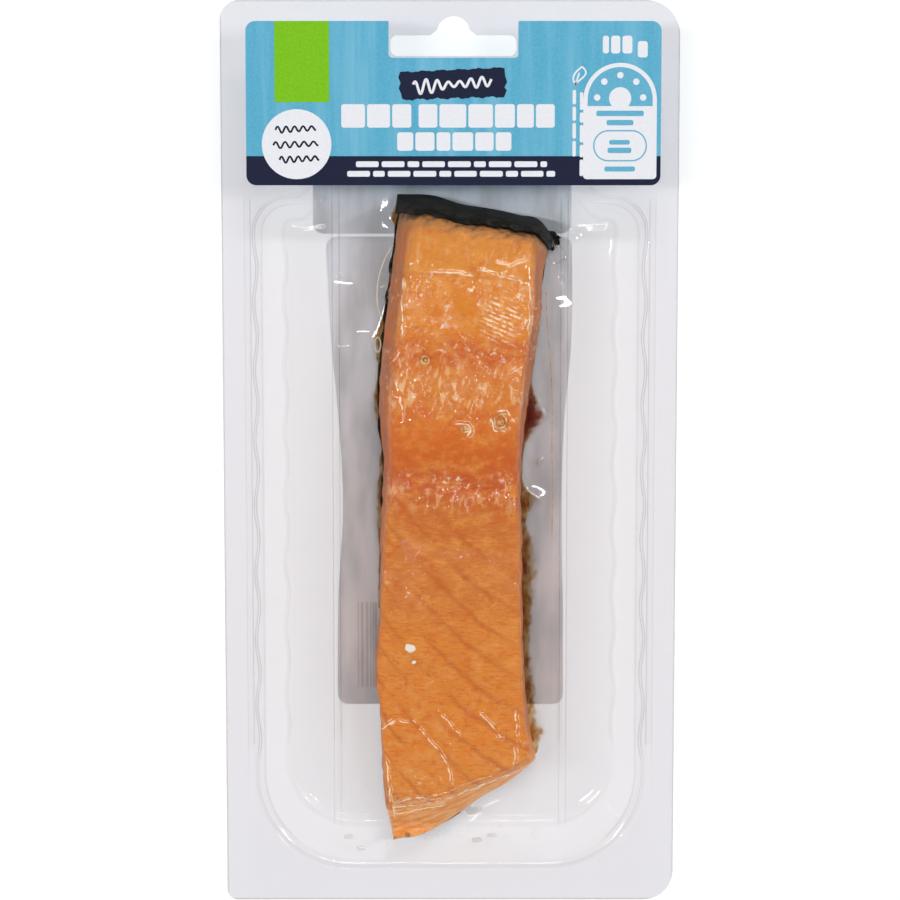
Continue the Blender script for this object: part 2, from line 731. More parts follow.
def clear_material(name, tint, sealed_tint, line_mask, ripple=None):
    """A clear plastic sheet: glossy, hazier on the flange, and darker along its formed bends."""
    material, tree = new_material(name)
    place = add_node(tree, "SeparateXYZ", {"Vector": millimetres(tree)})
    levels = {"Low": FLANGE_TOP - 0.9, "High": FLANGE_TOP - 0.4}
    sealed = shared_mask(tree, "sealed_flange", levels, above_level)
    colour = blend_colour(tree, sealed, tint, sealed_tint)
    colour = blend_colour(tree, line_mask(tree, place), colour, BEND_TINT)
    clear = add_node(tree, "BsdfTransparent", {"Color": colour})
    if ripple:
        crazed = add_node(tree, "BsdfDiffuse", {"Color": display(*GLINT_COLOUR)}).outputs[0]
        clear = add_node(tree, "MixShader", {"Fac": film_ticks(tree), 1: clear.outputs[0], 2: crazed})
        gloss = add_node(tree, "BsdfGlossy", {"Color": WHITE, "Roughness": 0.08, "Normal": ripple(tree)})
        face = attribute(tree, "face")
        mirror = compute(tree, "MULTIPLY_ADD", face, FISH_GLOSS - SIDE_GLOSS, SIDE_GLOSS)
    else:
        gloss = add_node(tree, "BsdfGlossy", {"Color": WHITE, "Roughness": 0.07})
        turned = add_node(tree, "LayerWeight", {"Blend": 0.5}).outputs["Facing"]
        mirror = compute(tree, "MULTIPLY_ADD", compute(tree, "POWER", turned, 5.0), RIM_GLOSS, FACE_GLOSS)
    mixed = add_node(tree, "MixShader", {"Fac": mirror, 1: clear.outputs[0], 2: gloss.outputs[0]})
    path = add_node(tree, "LightPath").outputs
    unseen = larger(tree, path["Is Shadow Ray"], path["Is Diffuse Ray"])
    plain = add_node(tree, "BsdfTransparent", {"Color": WHITE})
    shown = add_node(tree, "MixShader", {"Fac": unseen, 1: mixed.outputs[0], 2: plain.outputs[0]})
    output(tree, shown.outputs[0])
    return material


def tray_lines(tree, place):
    """The thin lines that the tray's rim, its foot and the sides of its ribs and grooves show as."""
    level, across, up = (place.outputs[axis] for axis in ("Z", "X", "Y"))
    mirrored = compute(tree, "ABSOLUTE", across)
    rim = multiply(tree, near_value(tree, level, 21.1, 0.5), mask_from(tree, mirrored, 52.8, 52.5))
    foot = multiply(tree, near_value(tree, level, 1.9, 0.7), 0.3)
    lines = larger(tree, rim, foot)
    grooves = near_value(tree, mirrored, GROOVE_X + GROOVE_WIDTH / 2, 0.16)
    grooves = multiply(tree, multiply(tree, grooves, mask_from(tree, level, 20.5, 21.0)), 0.3)
    ribs = larger(tree, near_value(tree, mirrored, RIB_X, 0.2), near_value(tree, mirrored, RIB_X + 1.9, 0.2))
    ribs = multiply(tree, ribs, mask_from(tree, level, 3.0, 2.6))
    lines = larger(tree, lines, multiply(tree, larger(tree, grooves, ribs), 0.7))
    inside = multiply(tree, mask_from(tree, up, 69.0, 66.0), mask_from(tree, up, -86.0, -78.0))
    lines = multiply(tree, lines, larger(tree, inside, 0.35))
    ends = compute(tree, "ABSOLUTE", up)
    border = mask_from(tree, mirrored, PACK_WIDTH / 2 - 0.5, PACK_WIDTH / 2 - 0.1)
    border = larger(tree, border, mask_from(tree, ends, PACK_LENGTH / 2 - 0.5, PACK_LENGTH / 2 - 0.1))
    return larger(tree, lines, multiply(tree, border, 0.5))


def film_lines(tree, place):
    """The faint line along the fold where the film leaves the flange."""
    mirrored = compute(tree, "ABSOLUTE", place.outputs["X"])
    wall = near_value(tree, place.outputs["Z"], 20.9, 0.6)
    return multiply(tree, multiply(tree, wall, mask_from(tree, mirrored, 40.0, 44.0)), 0.25)


def diagonal_waves(tree, scale, distortion, detail, detail_scale):
    """Wavy bands that run slantwise, from 0 to 1."""
    inputs = {
        "Vector": millimetres(tree, (1.0, 1.0, 1.0), -20.0), "Scale": scale, "Distortion": distortion,
        "Detail": detail, "Detail Scale": detail_scale,
    }
    return add_node(tree, "TexWave", inputs, wave_type="BANDS", bands_direction="DIAGONAL").outputs["Fac"]


def film_ticks(tree):
    """Cover of the pale marks where the film is creased over the fish, fixed in place on it."""
    course = noise_value(tree, millimetres(tree, (1.0, 0.4, 1.0), 30.0), 0.6, 1.0, 0.5)
    broken = noise_value(tree, millimetres(tree), 0.55, 2.0, 0.6)
    ticks = multiply(tree, near_value(tree, course, 0.5, 0.034), mask_from(tree, broken, 0.53, 0.6))
    ticks = multiply(tree, ticks, attribute(tree, "cling"))
    waves = diagonal_waves(tree, 0.4, 4.0, 2.0, 0.5)
    fan = multiply(tree, mask_from(tree, waves, 0.72, 0.98), mask_from(tree, broken, 0.42, 0.56))
    fan = multiply(tree, fan, attribute(tree, "fan"))
    wander = noise_value(tree, millimetres(tree), 0.35, 2.0, 0.5)
    aside = compute(tree, "MULTIPLY_ADD", wander, 1.8, attribute(tree, "crease_side"))
    aside = compute(tree, "ADD", aside, -0.9)
    doubled = multiply(tree, near_value(tree, aside, 0.7, 0.2), 0.45)
    lines = larger(tree, near_value(tree, aside, 0.0, 0.26), doubled)
    lines = multiply(tree, lines, attribute(tree, "crease"))
    lines = multiply(tree, lines, mask_from(tree, broken, 0.4, 0.52))
    return multiply(tree, larger(tree, larger(tree, ticks, fan), lines), GLINT_SHARE)


def film_ripple(tree):
    """Fine puckers where the film clings to the fish, as a bumped normal."""
    fine = noise_value(tree, millimetres(tree, (1.0, 0.75, 1.0), 35.0), 0.48, 1.5, 0.5)
    height = multiply(tree, near_value(tree, fine, 0.5, 0.12), attribute(tree, "cling"))
    waves = diagonal_waves(tree, 0.52, 5.0, 1.0, 0.35)
    total = compute(tree, "ADD", height, multiply(tree, waves, attribute(tree, "fan")))
    return add_node(tree, "Bump", {"Height": total, "Strength": 1.0, "Distance": 0.00022}).outputs[0]


def grain_mask(tree, low, high):
    """The grain of paper between two levels of its noise, from the shared node group."""
    values = {"Scale": GRAIN_SCALE, "Low": low, "High": high}
    return shared_mask(tree, "paper_grain", values, paper_grain)


def paper_grain(tree, given):
    """Inside the paper's group: fine noise between two levels."""
    speckle = noise_value(tree, millimetres(tree), given["Scale"], 3.0)
    return mask_from(tree, speckle, given["Low"], given["High"])


def paper_material(name, colour, grain=0.06, planks=False):
    """Printed paper, matte, with a faint grain and where asked the streaks of painted planks."""
    material, tree = new_material(name)
    base = display(*colour)
    shade = tuple(channel * (1 - grain * 2) for channel in base[:3]) + (1.0,)
    mixed = blend_colour(tree, grain_mask(tree, 0.35, 0.7), base, shade)
    if planks:
        streaks = noise_value(tree, millimetres(tree, (0.3, 0.02, 1.0)), 0.9, 4.0, 0.6)
        mixed = blend_colour(tree, mask_from(tree, streaks, 0.4, 0.75), mixed, display(114, 180, 206))
        dark = noise_value(tree, millimetres(tree, (1.1, 0.04, 1.0)), 1.0, 4.0, 0.65)
        mask = multiply(tree, mask_from(tree, dark, 0.6, 0.78), 0.5)
        mixed = blend_colour(tree, mask, mixed, display(72, 146, 176))
    shader = add_node(tree, "BsdfPrincipled", {
        "Base Color": mixed, "Roughness": 0.5, "Specular IOR Level": 0.1,
    })
    output(tree, shader.outputs[0])
    return material


def back_paper_material():
    """The grey back of a label seen through the tray, with a faint block of stripes."""
    material, tree = new_material("back_label_paper")
    place = add_node(tree, "SeparateXYZ", {"Vector": millimetres(tree)})
    shade = mask_from(tree, place.outputs["Y"], 70.0, -70.0)
    colour = blend_colour(tree, shade, display(236, 238, 242), display(238, 231, 228))
    blotches = noise_value(tree, millimetres(tree, (1.0, 0.3, 1.0)), 0.12, 3.0)
    colour = blend_colour(tree, mask_from(tree, blotches, 0.35, 0.7), colour, display(203, 202, 203))
    grain = multiply(tree, grain_mask(tree, 0.4, 0.8), 0.1)
    colour = blend_colour(tree, grain, colour, display(196, 190, 186))
    stripes = noise_value(tree, millimetres(tree, (1.0, 0.0, 0.0)), 1.6, 1.0)
    across = between(tree, place.outputs["X"], -25.6, -17.0, 0.6)
    up = between(tree, place.outputs["Y"], -66.6, -42.0, 0.8)
    block = multiply(tree, multiply(tree, across, up), mask_from(tree, stripes, 0.44, 0.56))
    colour = blend_colour(tree, multiply(tree, block, 0.5), colour, display(176, 146, 128))
    shader = add_node(tree, "BsdfPrincipled", {"Base Color": colour, "Roughness": 0.6})
    output(tree, shader.outputs[0])
    return material


def jelly_material():
    """Cooked juice: a thin see-through brownish jelly, darker in patches."""
    material, tree = new_material("juice_jelly")
    patches = noise_value(tree, millimetres(tree, (1.0, 0.5, 1.0)), 0.6, 3.0, 0.6)
    mask = mask_from(tree, patches, 0.38, 0.66)
    tint = blend_colour(tree, mask, display(248, 234, 206), display(218, 174, 120))
    tint = blend_colour(tree, attribute(tree, "browned"), tint, display(208, 136, 86))
    tint = blend_colour(tree, attribute(tree, "thickness"), WHITE, tint)
    clear = add_node(tree, "BsdfTransparent", {"Color": tint})
    gloss = add_node(tree, "BsdfGlossy", {"Color": (1, 0.95, 0.85, 1), "Roughness": 0.12})
    mixed = add_node(tree, "MixShader", {"Fac": 0.06, 1: clear.outputs[0], 2: gloss.outputs[0]})
    output(tree, mixed.outputs[0])
    return material


def protein_material():
    """Set juice: pale tan, browner in patches."""
    material, tree = new_material("set_juice")
    patches = noise_value(tree, millimetres(tree), 1.3, 3.0, 0.6)
    mask = mask_from(tree, patches, 0.4, 0.6)
    colour = blend_colour(tree, mask, display(226, 184, 122), display(178, 118, 60))
    shader = add_node(tree, "BsdfPrincipled", {"Base Color": colour, "Roughness": 0.4})
    output(tree, shader.outputs[0])
    return material


def bubble_material():
    """A bubble or drop under the film: clear, with a bright and a dark rim."""
    material, tree = new_material("bubble")
    turned = add_node(tree, "LayerWeight", {"Blend": 0.5}).outputs["Facing"]
    rim = mask_from(tree, turned, 0.45, 0.95)
    tint = blend_colour(tree, rim, (0.97, 0.96, 0.94, 1), (0.66, 0.62, 0.54, 1))
    clear = add_node(tree, "BsdfTransparent", {"Color": tint})
    gloss = add_node(tree, "BsdfGlossy", {"Color": WHITE, "Roughness": 0.05})
    mirror = compute(tree, "MULTIPLY_ADD", turned, 0.5, 0.05)
    mixed = add_node(tree, "MixShader", {"Fac": mirror, 1: clear.outputs[0], 2: gloss.outputs[0]})
    output(tree, mixed.outputs[0])
    return material


def floor_material():
    """A plain white floor, faintly lit from below as a light table is."""
    material, tree = new_material("white_floor")
    shader = add_node(tree, "BsdfPrincipled", {
        "Base Color": (0.68, 0.68, 0.68, 1),
        "Roughness": 1.0,
        "Specular IOR Level": 0.0,
        "Emission Color": WHITE,
        "Emission Strength": 0.4,
    })
    output(tree, shader.outputs[0])
    return material


# The fish


def flesh_top(across, along_share, x, y):
    """Height of the flesh's face with its relief."""
    foot = foot_level(x, y, FLESH_FOOT)
    inner = inward(across, along_share)
    relief = main_relief(x, y) + SEAM_DEPTH * seam_mask(x, y)
    lumpy = 0.22 * lumps(x, y, 7.0, 1) + 0.1 * lumps(x, y, 2.4, 2) + 0.05 * lumps(x, y, 1.0, 3, 0.5)
    drop = (SKIN_THICKNESS + SKIN_GAP) * lip_drop(across, along_share)
    height = fillet_height(across, along_share, y, foot) - drop - (relief - lumpy) * inner
    return np.maximum(foot, height)


def make_flesh(material):
    """The flesh, closed by an underside that rides up the tray's end wall."""
    def place(s, v):
        s, v = packed(s, 0.72), packed(v, 0.5)
        x, y = fillet_plan(s, v, 0.0, -(SKIN_THICKNESS + SKIN_GAP), 0.0)
        ragged = (1 - inward(s, v)) * lumps(x, y, 3.0, 4)
        return x + 0.35 * ragged, y + 0.35 * ragged, flesh_top(s, v, x, y)

    bm = mapped_grid(FLESH_COLUMNS, FLESH_ROWS, place)
    close_hole(bm, border_edges(bm), FLESH_FOOT)
    bmesh.ops.recalc_face_normals(bm, faces=bm.faces)
    flesh = add_object("fillet_flesh", bm, material)
    paint_flesh(flesh)
    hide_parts("flesh")
    return flesh


def edge_height(edge):
    """How far an edge is above the level of the skin's foot."""
    x, y, z = edge.verts[0].co
    return z - float(foot_level(x, y, SKIN_FOOT))


def close_hole(bm, edges, foot):
    """Closes an open border with two rings drawn in towards the fish's middle and a flat face."""
    middle = Vector((3.0, -18.0, 0.0))
    for shrink_x, shrink_y in ((0.84, 0.96), (0.6, 0.9)):
        grown = bmesh.ops.extrude_edge_only(bm, edges=edges)["geom"]
        for vert in (v for v in grown if isinstance(v, bmesh.types.BMVert)):
            vert.co.x = middle.x + (vert.co.x - middle.x) * shrink_x
            vert.co.y = middle.y + (vert.co.y - middle.y) * shrink_y
            vert.co.z = float(foot_level(vert.co.x, vert.co.y, foot))
        edges = [e for e in grown if isinstance(e, bmesh.types.BMEdge) and e.is_boundary]
    bmesh.ops.contextual_create(bm, geom=edges)


def paint_flesh(flesh):
    """Marks where the flesh is seamed, reddish, flecked, cut at its side or browned by the skin."""
    x, y, z = mesh_points(flesh).T
    face = along(FACE_HEIGHT, y)
    low = smooth((face - z - 2.0) / 3.0)
    end = smooth((-(y + 84.0) + 0.55 * x) / 8.0)
    keep_attribute(flesh, "seam", seam_mask(x, y) * (1 - low))
    keep_attribute(flesh, "side", low * (1 - end))
    keep_attribute(flesh, "dried", low * smooth((y + 24) / 24))
    keep_attribute(flesh, "fibrous", 0.15 + 0.85 * smooth((2.0 - y) / 12.0))
    tilted = y - ACROSS_SLOPE * x
    reddish = hill(tilted - CREASE_Y + 1.5, 5.0) + 0.9 * hill(tilted - BAND_Y, 3.0)
    reddish = reddish + 0.35 * hill(tilted - 6.0, 12.0)
    keep_attribute(flesh, "reddish", np.clip(reddish, 0, 1) * (1 - low))
    pale = hill(tilted - 19.0, 7.0) + 0.55 * hill(tilted - CREASE_Y + 3.0, 4.0)
    pale = pale + 0.35 * hill(tilted - 54.0, 7.0)
    pale = pale + 0.5 * hill(tilted - 38.0, 6.0) * smooth((x - 2.0) / 8.0)
    keep_attribute(flesh, "pale", np.clip(pale, 0, 1) * (1 - low))
    top_y = along(TOP_EDGE, x)
    lip = SKIN_LIP - 1.6 * smooth((x + 14.0) / 28.0)
    near_skin = 1.3 * np.clip((y - top_y + lip + 5.5) / 6.0, 0, 1.0)
    near_foot = 0.7 * smooth((6.5 - z) / 5.0) * (1 - end)
    keep_attribute(flesh, "brown", np.clip(near_skin + near_foot, 0, 1.1))
    below = along(CUT_EDGE, x) - y + 0.4 * lumps(x, y, 3.0, 15)
    left = hill(x + 19.4, 1.1) * smooth((-64.0 - y) / 12.0) * (0.5 + 0.5 * lumps(x, y, 5.0, 17))
    keep_attribute(flesh, "cut", np.clip(0.85 * smooth(below / 1.2) + left, 0, 1))


def make_skin(material):
    """The skin: a cap wrapped over the dorsal end, and a layer under the flesh with a low rim."""
    def cap(s, v):
        s = packed(s, 0.72)
        ragged = 0.7 * lumps(28 * s, 0 * s, 3.0, 11) + 0.8 * lumps(28 * s, 0 * s, 1.3, 16)
        edge = (SKIN_LIP - 0.2 - 1.6 * smooth(s / 0.7) + ragged) / fillet_length(s)
        v = v**1.6 * edge
        x, y = fillet_plan(s, v, SKIN_SIDE, 0.0, 0.4)
        height = fillet_height(s, v, y, foot_level(x, y, SKIN_FOOT))
        thin = smooth((v / edge - 0.7) / 0.3)
        wrinkles = 0.12 * lumps(x, y, 2.2, 12, 0.4) * inward(s, v * 6)
        return x, y, np.maximum(height - 1.5 * thin + wrinkles, SKIN_FOOT)

    bm = mapped_grid(FLESH_COLUMNS, 26, cap)
    bmesh.ops.recalc_face_normals(bm, faces=bm.faces)
    bm.normal_update()
    if sum(face.normal.z for face in bm.faces) < 0:
        bmesh.ops.reverse_faces(bm, faces=bm.faces)
    skin = add_object("skin_cap", bm, material)
    thicken(skin, 1.0, -1.0, False)

    levels = ((0.0, SKIN_FOOT), (-0.1, 1.8), (0.1, 2.6), (0.5, SKIN_RIM), (1.0, 2.3))

    def drawn_in(s, v):
        return fillet_plan(s, v, 0.0, -1.0, -0.6)

    border = plan_border(FLESH_COLUMNS, FLESH_ROWS // 2, 0.72, drawn_in)

    def rim(s, v):
        x, y = border[np.rint(s * (len(border) - 1)).astype(int)].T
        step = np.rint(v * (len(levels) - 1)).astype(int)
        inset, level = np.array(levels)[step].T
        side = np.where(x < 2, 1.0, -1.0)
        shown = smooth((y + 22.0) / 12.0) * (x < 2) + 0.7 * smooth((y - 40.0) / 10.0) * (x > 2)
        shown = shown + 0.5 * hill(y + 20.0, 24.0) * (x > 2)
        shift = inset + 0.4 - shown * (0.9 + 0.6 * lumps(x, y, 4.0, 14))
        return x + side * shift, y, level + foot_level(x, y, 0.0)

    bm = mapped_grid(len(border) - 1, len(levels) - 1, rim)
    merge(bm)
    upper = [edge for edge in border_edges(bm) if edge_height(edge) > 0.5]
    close_hole(bm, upper, 2.3)
    close_hole(bm, border_edges(bm), SKIN_FOOT)
    bmesh.ops.recalc_face_normals(bm, faces=bm.faces)
    under = add_object("skin_layer", bm, material)
    shade_by_angle(under, 40)
    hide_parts("skin")
    return skin


def plan_border(columns, rows, strength, plan):
    """Points round a plan of the fish: along its top, down its right, back and up, closed."""
    s = packed(np.linspace(0, 1, columns + 1), strength)
    v = packed(np.linspace(0, 1, rows + 1), 0.5)
    sides = [(s, 0 * s), (0 * v + 1, v), (s[::-1], 0 * s + 1), (0 * v, v[::-1])]
    points = [np.stack(plan(u, w), axis=1)[:-1] for u, w in sides]
    return np.concatenate(points + [points[0][:1]])


# The film

# Creases in the film over the fish: the places each passes through, its height and its width
CREASES = (
    (((-12.4, 47.0), (-12.8, 42.0), (-12.5, 37.0), (-12.9, 33.0)), 0.4, 0.5),
    (((-9.6, -71.3), (-5.4, -76.2), (-2.4, -80.0), (-0.8, -83.0), (0.3, -88.0)), 0.45, 0.6),
    (((-2.7, -68.5), (2.1, -74.0)), 0.35, 0.5),
    (((8.6, -69.1), (13.9, -75.1)), 0.4, 0.5),
    (((-14.0, -94.5), (-10.0, -93.0), (-6.7, -93.0)), 0.35, 0.5),
    (((-16.0, -72.0), (-13.5, -71.0)), 0.3, 0.5),
    (((12.0, 52.0), (16.0, 51.0), (20.0, 52.5)), 0.35, 0.6),
    (((8.0, 50.0), (14.0, 48.0), (20.0, 46.5)), 0.35, 0.6),
    (((-4.0, 49.5), (0.0, 49.3), (5.0, 48.6)), 0.3, 0.6),
    (((20.6, 47.0), (21.0, 41.0), (20.6, 34.0)), 0.4, 0.5),
    (((-14.0, 20.0), (-12.5, 12.0)), 0.3, 0.5),
    (((-15.0, -96.6), (-8.0, -95.0), (0.0, -93.0), (13.5, -87.6), (20.0, -85.0)), 0.4, 0.5),
    (((-14.5, -98.4), (-9.0, -97.0), (-2.0, -95.6)), 0.3, 0.4),
    (((-17.2, -82.0), (-16.4, -92.0), (-15.0, -100.0)), 0.35, 0.5),
    (((17.5, -69.0), (18.0, -76.0), (17.2, -83.0)), 0.25, 0.5),
    (((-18.0, -73.0), (-15.0, -70.6), (-11.5, -71.2)), 0.3, 0.5),
    (((16.9, 10.6), (15.0, 13.0), (12.2, 12.9), (10.6, 10.8), (11.4, 8.2), (14.0, 7.6)), 0.25, 0.4),
    (((2.0, 9.8), (4.5, 9.9), (6.0, 8.2), (4.6, 6.6)), 0.25, 0.4),
)

# Tents of film beside the fish: side of the fish, place up the pack, half length and height
TENTS = (
    (-1, -92.0, 9.0, 2.5), (-1, 44.0, 9.0, 5.0), (-1, 28.0, 2.6, 3.5), (1, 53.0, 3.5, 4.5),
    (1, 34.0, 8.0, 3.0), (1, -14.0, 3.0, 2.0),
)


def line_distance(x, y, start, end):
    """Distance from the nearest point of a straight line, and the sign of the side that a place is on."""
    (ax, ay), (bx, by) = start, end
    run = (bx - ax, by - ay)
    t = np.clip(((x - ax) * run[0] + (y - ay) * run[1]) / (run[0] ** 2 + run[1] ** 2), 0, 1)
    side = np.sign(run[0] * (y - ay) - run[1] * (x - ax))
    return np.hypot(x - ax - t * run[0], y - ay - t * run[1]), side


def crease_heights(x, y):
    """Height of the film's creases, as thin ridges along their lines."""
    height = np.zeros_like(x)
    for points, tall, width in CREASES:
        near = np.full_like(x, 1e9)
        for start, end in zip(points, points[1:]):
            near = np.minimum(near, line_distance(x, y, start, end)[0])
        height = np.maximum(height, tall * hill(near, width))
    return height


def crease_distances(x, y):
    """How far each place is from the nearest crease, plain and with a sign for its side."""
    near, aside = np.full_like(x, 1e9), np.full_like(x, 1e9)
    for points, _, _ in CREASES:
        for start, end in zip(points, points[1:]):
            away, side = line_distance(x, y, start, end)
            aside = np.where(away < near, away * side, aside)
            near = np.minimum(near, away)
    return near, aside


# How much the film puckers by place up the pack
PUCKERS = (
    (70.0, 0.0), (56.0, 0.05), (50.0, 0.5), (46.0, 1.0), (32.0, 1.0), (26.0, 0.8), (14.0, 0.7), (9.0, 0.25),
    (-2.0, 0.2), (-5.0, 0.85), (-10.0, 0.7), (-14.0, 0.2), (-60.0, 0.15), (-84.0, 0.3), (-106.0, 0.4),
)


def cling_mask(x, y):
    """Where the film puckers, in patches."""
    return along(PUCKERS, y) * smooth(0.65 + 1.3 * lumps(x, y, 6.0, 26))


def film_wrinkles(x, y):
    """Short ridges, creases and soft waves of the film over the fish."""
    ridged = hill(lumps(x, y, 3.6, 21, 0.8), 0.16)
    patchy = smooth(0.3 + 1.6 * lumps(x, y, 8.0, 22))
    short = 0.22 * ridged * patchy * cling_mask(x, y)
    return crease_heights(x, y) + short + 0.08 * lumps(x, y, 4.0, 23)


def cove_height(x, y):
    """How high the film stands off the tray's floor where it leaves the fish."""
    height = 1.3 + 0.7 * lumps(x, y, 8.0, 24) + 0.15 * lumps(x, y, 3.5, 25)
    for side, place, length, tall in TENTS:
        height = height + tall * hill(y - place, length) * (side * (x - 2) > 8)
    return np.maximum(height, 0.5)


def film_spread(across, along_share):
    """The film's plan over the fish: close to it on the face, and further out at its foot."""
    low = (1 - height_share(across, along_share)) ** 2
    tight_x, tight_y = fillet_plan(across, along_share, 0.45, 0.5, 0.7)
    loose_x, loose_y = fillet_plan(across, along_share, 1.2, 0.8, 1.6)
    return tight_x + (loose_x - tight_x) * low, tight_y + (loose_y - tight_y) * low


def film_over_fish(s, v):
    """The film's places over the fish."""
    s, v = packed(s, 0.7), packed(v, 0.5)
    x, y = film_spread(s, v)
    base = tub_level(FILM_PROFILE, x, y)
    inner = inward(s, v)
    lift = 0.3 * np.minimum(1, 60 * s * (1 - s)) * np.minimum(1, 140 * v * (1 - v))
    height = fillet_height(s, v, y, base) + lift - (0.8 * main_relief(x, y) - film_wrinkles(x, y)) * inner
    return x, y, np.maximum(height, base + cove_height(x, y))


def fan_angles(counts, border):
    """The plan angle at which the film leaves each point of the fillet's border for the wall."""
    reach = 16.0
    angles, start = [], 0
    for count, angle in zip(counts, (90, 0, -90, -180)):
        side = border[start:start + count + 1]
        first = np.hypot(*(side - side[0]).T)
        last = np.hypot(*(side - side[-1]).T)
        turn = np.maximum(0, 1 - first / reach) - np.maximum(0, 1 - last / reach)
        angles.append(angle + 45 * turn[:-1])
        start += count
    return np.radians(np.concatenate(angles + [angles[0][:1]]))


def film_skirt(columns, rows):
    """Rays of the film from the fillet's border outwards: their starts, angles and lengths."""
    border = plan_border(columns, rows, 0.7, film_spread)
    angles = fan_angles((columns, rows, columns, rows), border)
    across, up = np.cos(angles), np.sin(angles)
    reaches = [np.zeros(len(border))]
    for inset, _ in FILM_PROFILE[::-1]:
        near, far = np.zeros(len(border)), np.full(len(border), PACK_LENGTH)
        for _ in range(40):
            middle = (near + far) / 2
            inside = tub_inset(border[:, 0] + across * middle, border[:, 1] + up * middle) > inset
            near, far = np.where(inside, middle, near), np.where(inside, far, middle)
        reaches.append(np.maximum(near, reaches[-1] + 0.5))
    half, end = PACK_WIDTH / 2 + 34.0, PACK_LENGTH / 2 + 34.0
    to_side = (half - np.sign(across) * border[:, 0]) / np.maximum(np.abs(across), 1e-6)
    to_end = (end - np.sign(up) * border[:, 1]) / np.maximum(np.abs(up), 1e-6)
    reaches.append(np.minimum(to_side, to_end))
    return border, angles, np.stack(reaches)


def skirt_stations():
    """Where the skirt's rows lie between the stations of one ray: cove, floor, wall, rim and flange."""
    cove = np.linspace(0, 1, 9) ** 1.5
    floor = np.linspace(1, 2, 10)
    return np.concatenate([cove[:-1], floor[:-1], np.linspace(2, 3, 5)[:-1], [3, 3.5, 4, 4.5, 5, 6]])


def make_film(material, puckered):
    """The clear film, drawn over the fish, down to the tray's floor and up to its flange."""
    bm = mapped_grid(FILM_COLUMNS, FILM_ROWS, film_over_fish)
    border, angles, reaches = film_skirt(FILM_COLUMNS, FILM_ROWS)
    stations = skirt_stations()

    def skirt(s, v):
        ray = np.rint(s * (len(border) - 1)).astype(int)
        station = stations[np.rint(v * (len(stations) - 1)).astype(int)]
        low = np.minimum(np.floor(station).astype(int), len(reaches) - 2)
        part = station - low
        reach = reaches[low, ray] * (1 - part) + reaches[low + 1, ray] * part
        x0, y0 = border[ray].T
        x, y = x0 + np.cos(angles[ray]) * reach, y0 + np.sin(angles[ray]) * reach
        base = tub_level(FILM_PROFILE, x, y)
        tall = cove_height(x0, y0)
        cove = tall * np.clip(1 - reach / (2.2 * tall + 0.8), 0, 1) ** 2
        slack = smooth(reach / 4.0) * smooth((tub_inset(x, y) - 9.5) / 8.0)
        waves = 0.35 * slack * (lumps(x, y, 9.0, 31, 2.0) + 0.4)
        return x, y, base + cove + np.maximum(waves, 0)

    grown = mapped_grid(len(border) - 1, len(stations) - 1, skirt)
    made = bpy.data.meshes.new("skirt")
    grown.to_mesh(made)
    grown.free()
    bm.from_mesh(made)
    bpy.data.meshes.remove(made)
    merge(bm)
    bm.normal_update()
    if sum(face.normal.z * face.calc_area() for face in bm.faces) < 0:
        bmesh.ops.reverse_faces(bm, faces=bm.faces)
    film = add_object("clear_film", bm, material)
    thicken(film, FILM_SHEET, 1.0, False)
    trim_to_pack(film, material)
    shade_by_angle(film, 60)
    paint_film(film, puckered)
    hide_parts("film")
    return film


def paint_film(film, puckered):
    """Marks where the film puckers, fans, creases and lies flat, and gives it its material over the fish."""
    x, y, z = mesh_points(film).T
    on_fish = smooth((np.minimum(x + 20.5, 26.0 - x)) / 3.0) * (y < 70) * (y > -107) * (z > 6)
    keep_attribute(film, "cling", cling_mask(x, y) * on_fish)
    fan = hill(x - 13.5, 6.0) * hill(y - 37.5, 7.0)
    keep_attribute(film, "fan", smooth(1.6 * fan - 0.3) * on_fish)
    flat = smooth((z - along(FACE_HEIGHT, y) + 2.6) / 1.6)
    top_y = along(TOP_EDGE, x)
    near, aside = crease_distances(x, y)
    keep_attribute(film, "crease", smooth((1.5 - near) / 0.5) * (z > 6))
    keep_attribute(film, "crease_side", np.clip(aside, -4.0, 4.0))
    dimmer_head = 0.35 + 0.65 * smooth((53.0 - y) / 3.0)
    keep_attribute(film, "face", flat * smooth((top_y - 7.0 - y) / 4.0) * dimmer_head)
    over_fish = (z > 3.2) & (np.abs(x - 3) < 27) & (y < 70.5) & (y > -108)
    film.data.materials.append(puckered)
    second = len(film.data.materials) - 1
    for face in film.data.polygons:
        if all(over_fish[corner] for corner in face.vertices):
            face.material_index = second


# The tray


def flute(y):
    """How far the tub's side walls wave inwards."""
    inside = (y > FLUTE_BOTTOM) & (y < FLUTE_TOP)
    turn = 2 * np.pi * (y - FLUTE_BOTTOM) / FLUTE_PITCH
    return np.where(inside, FLUTE_DEPTH * (1 - np.cos(turn)) / 2, 0.0)


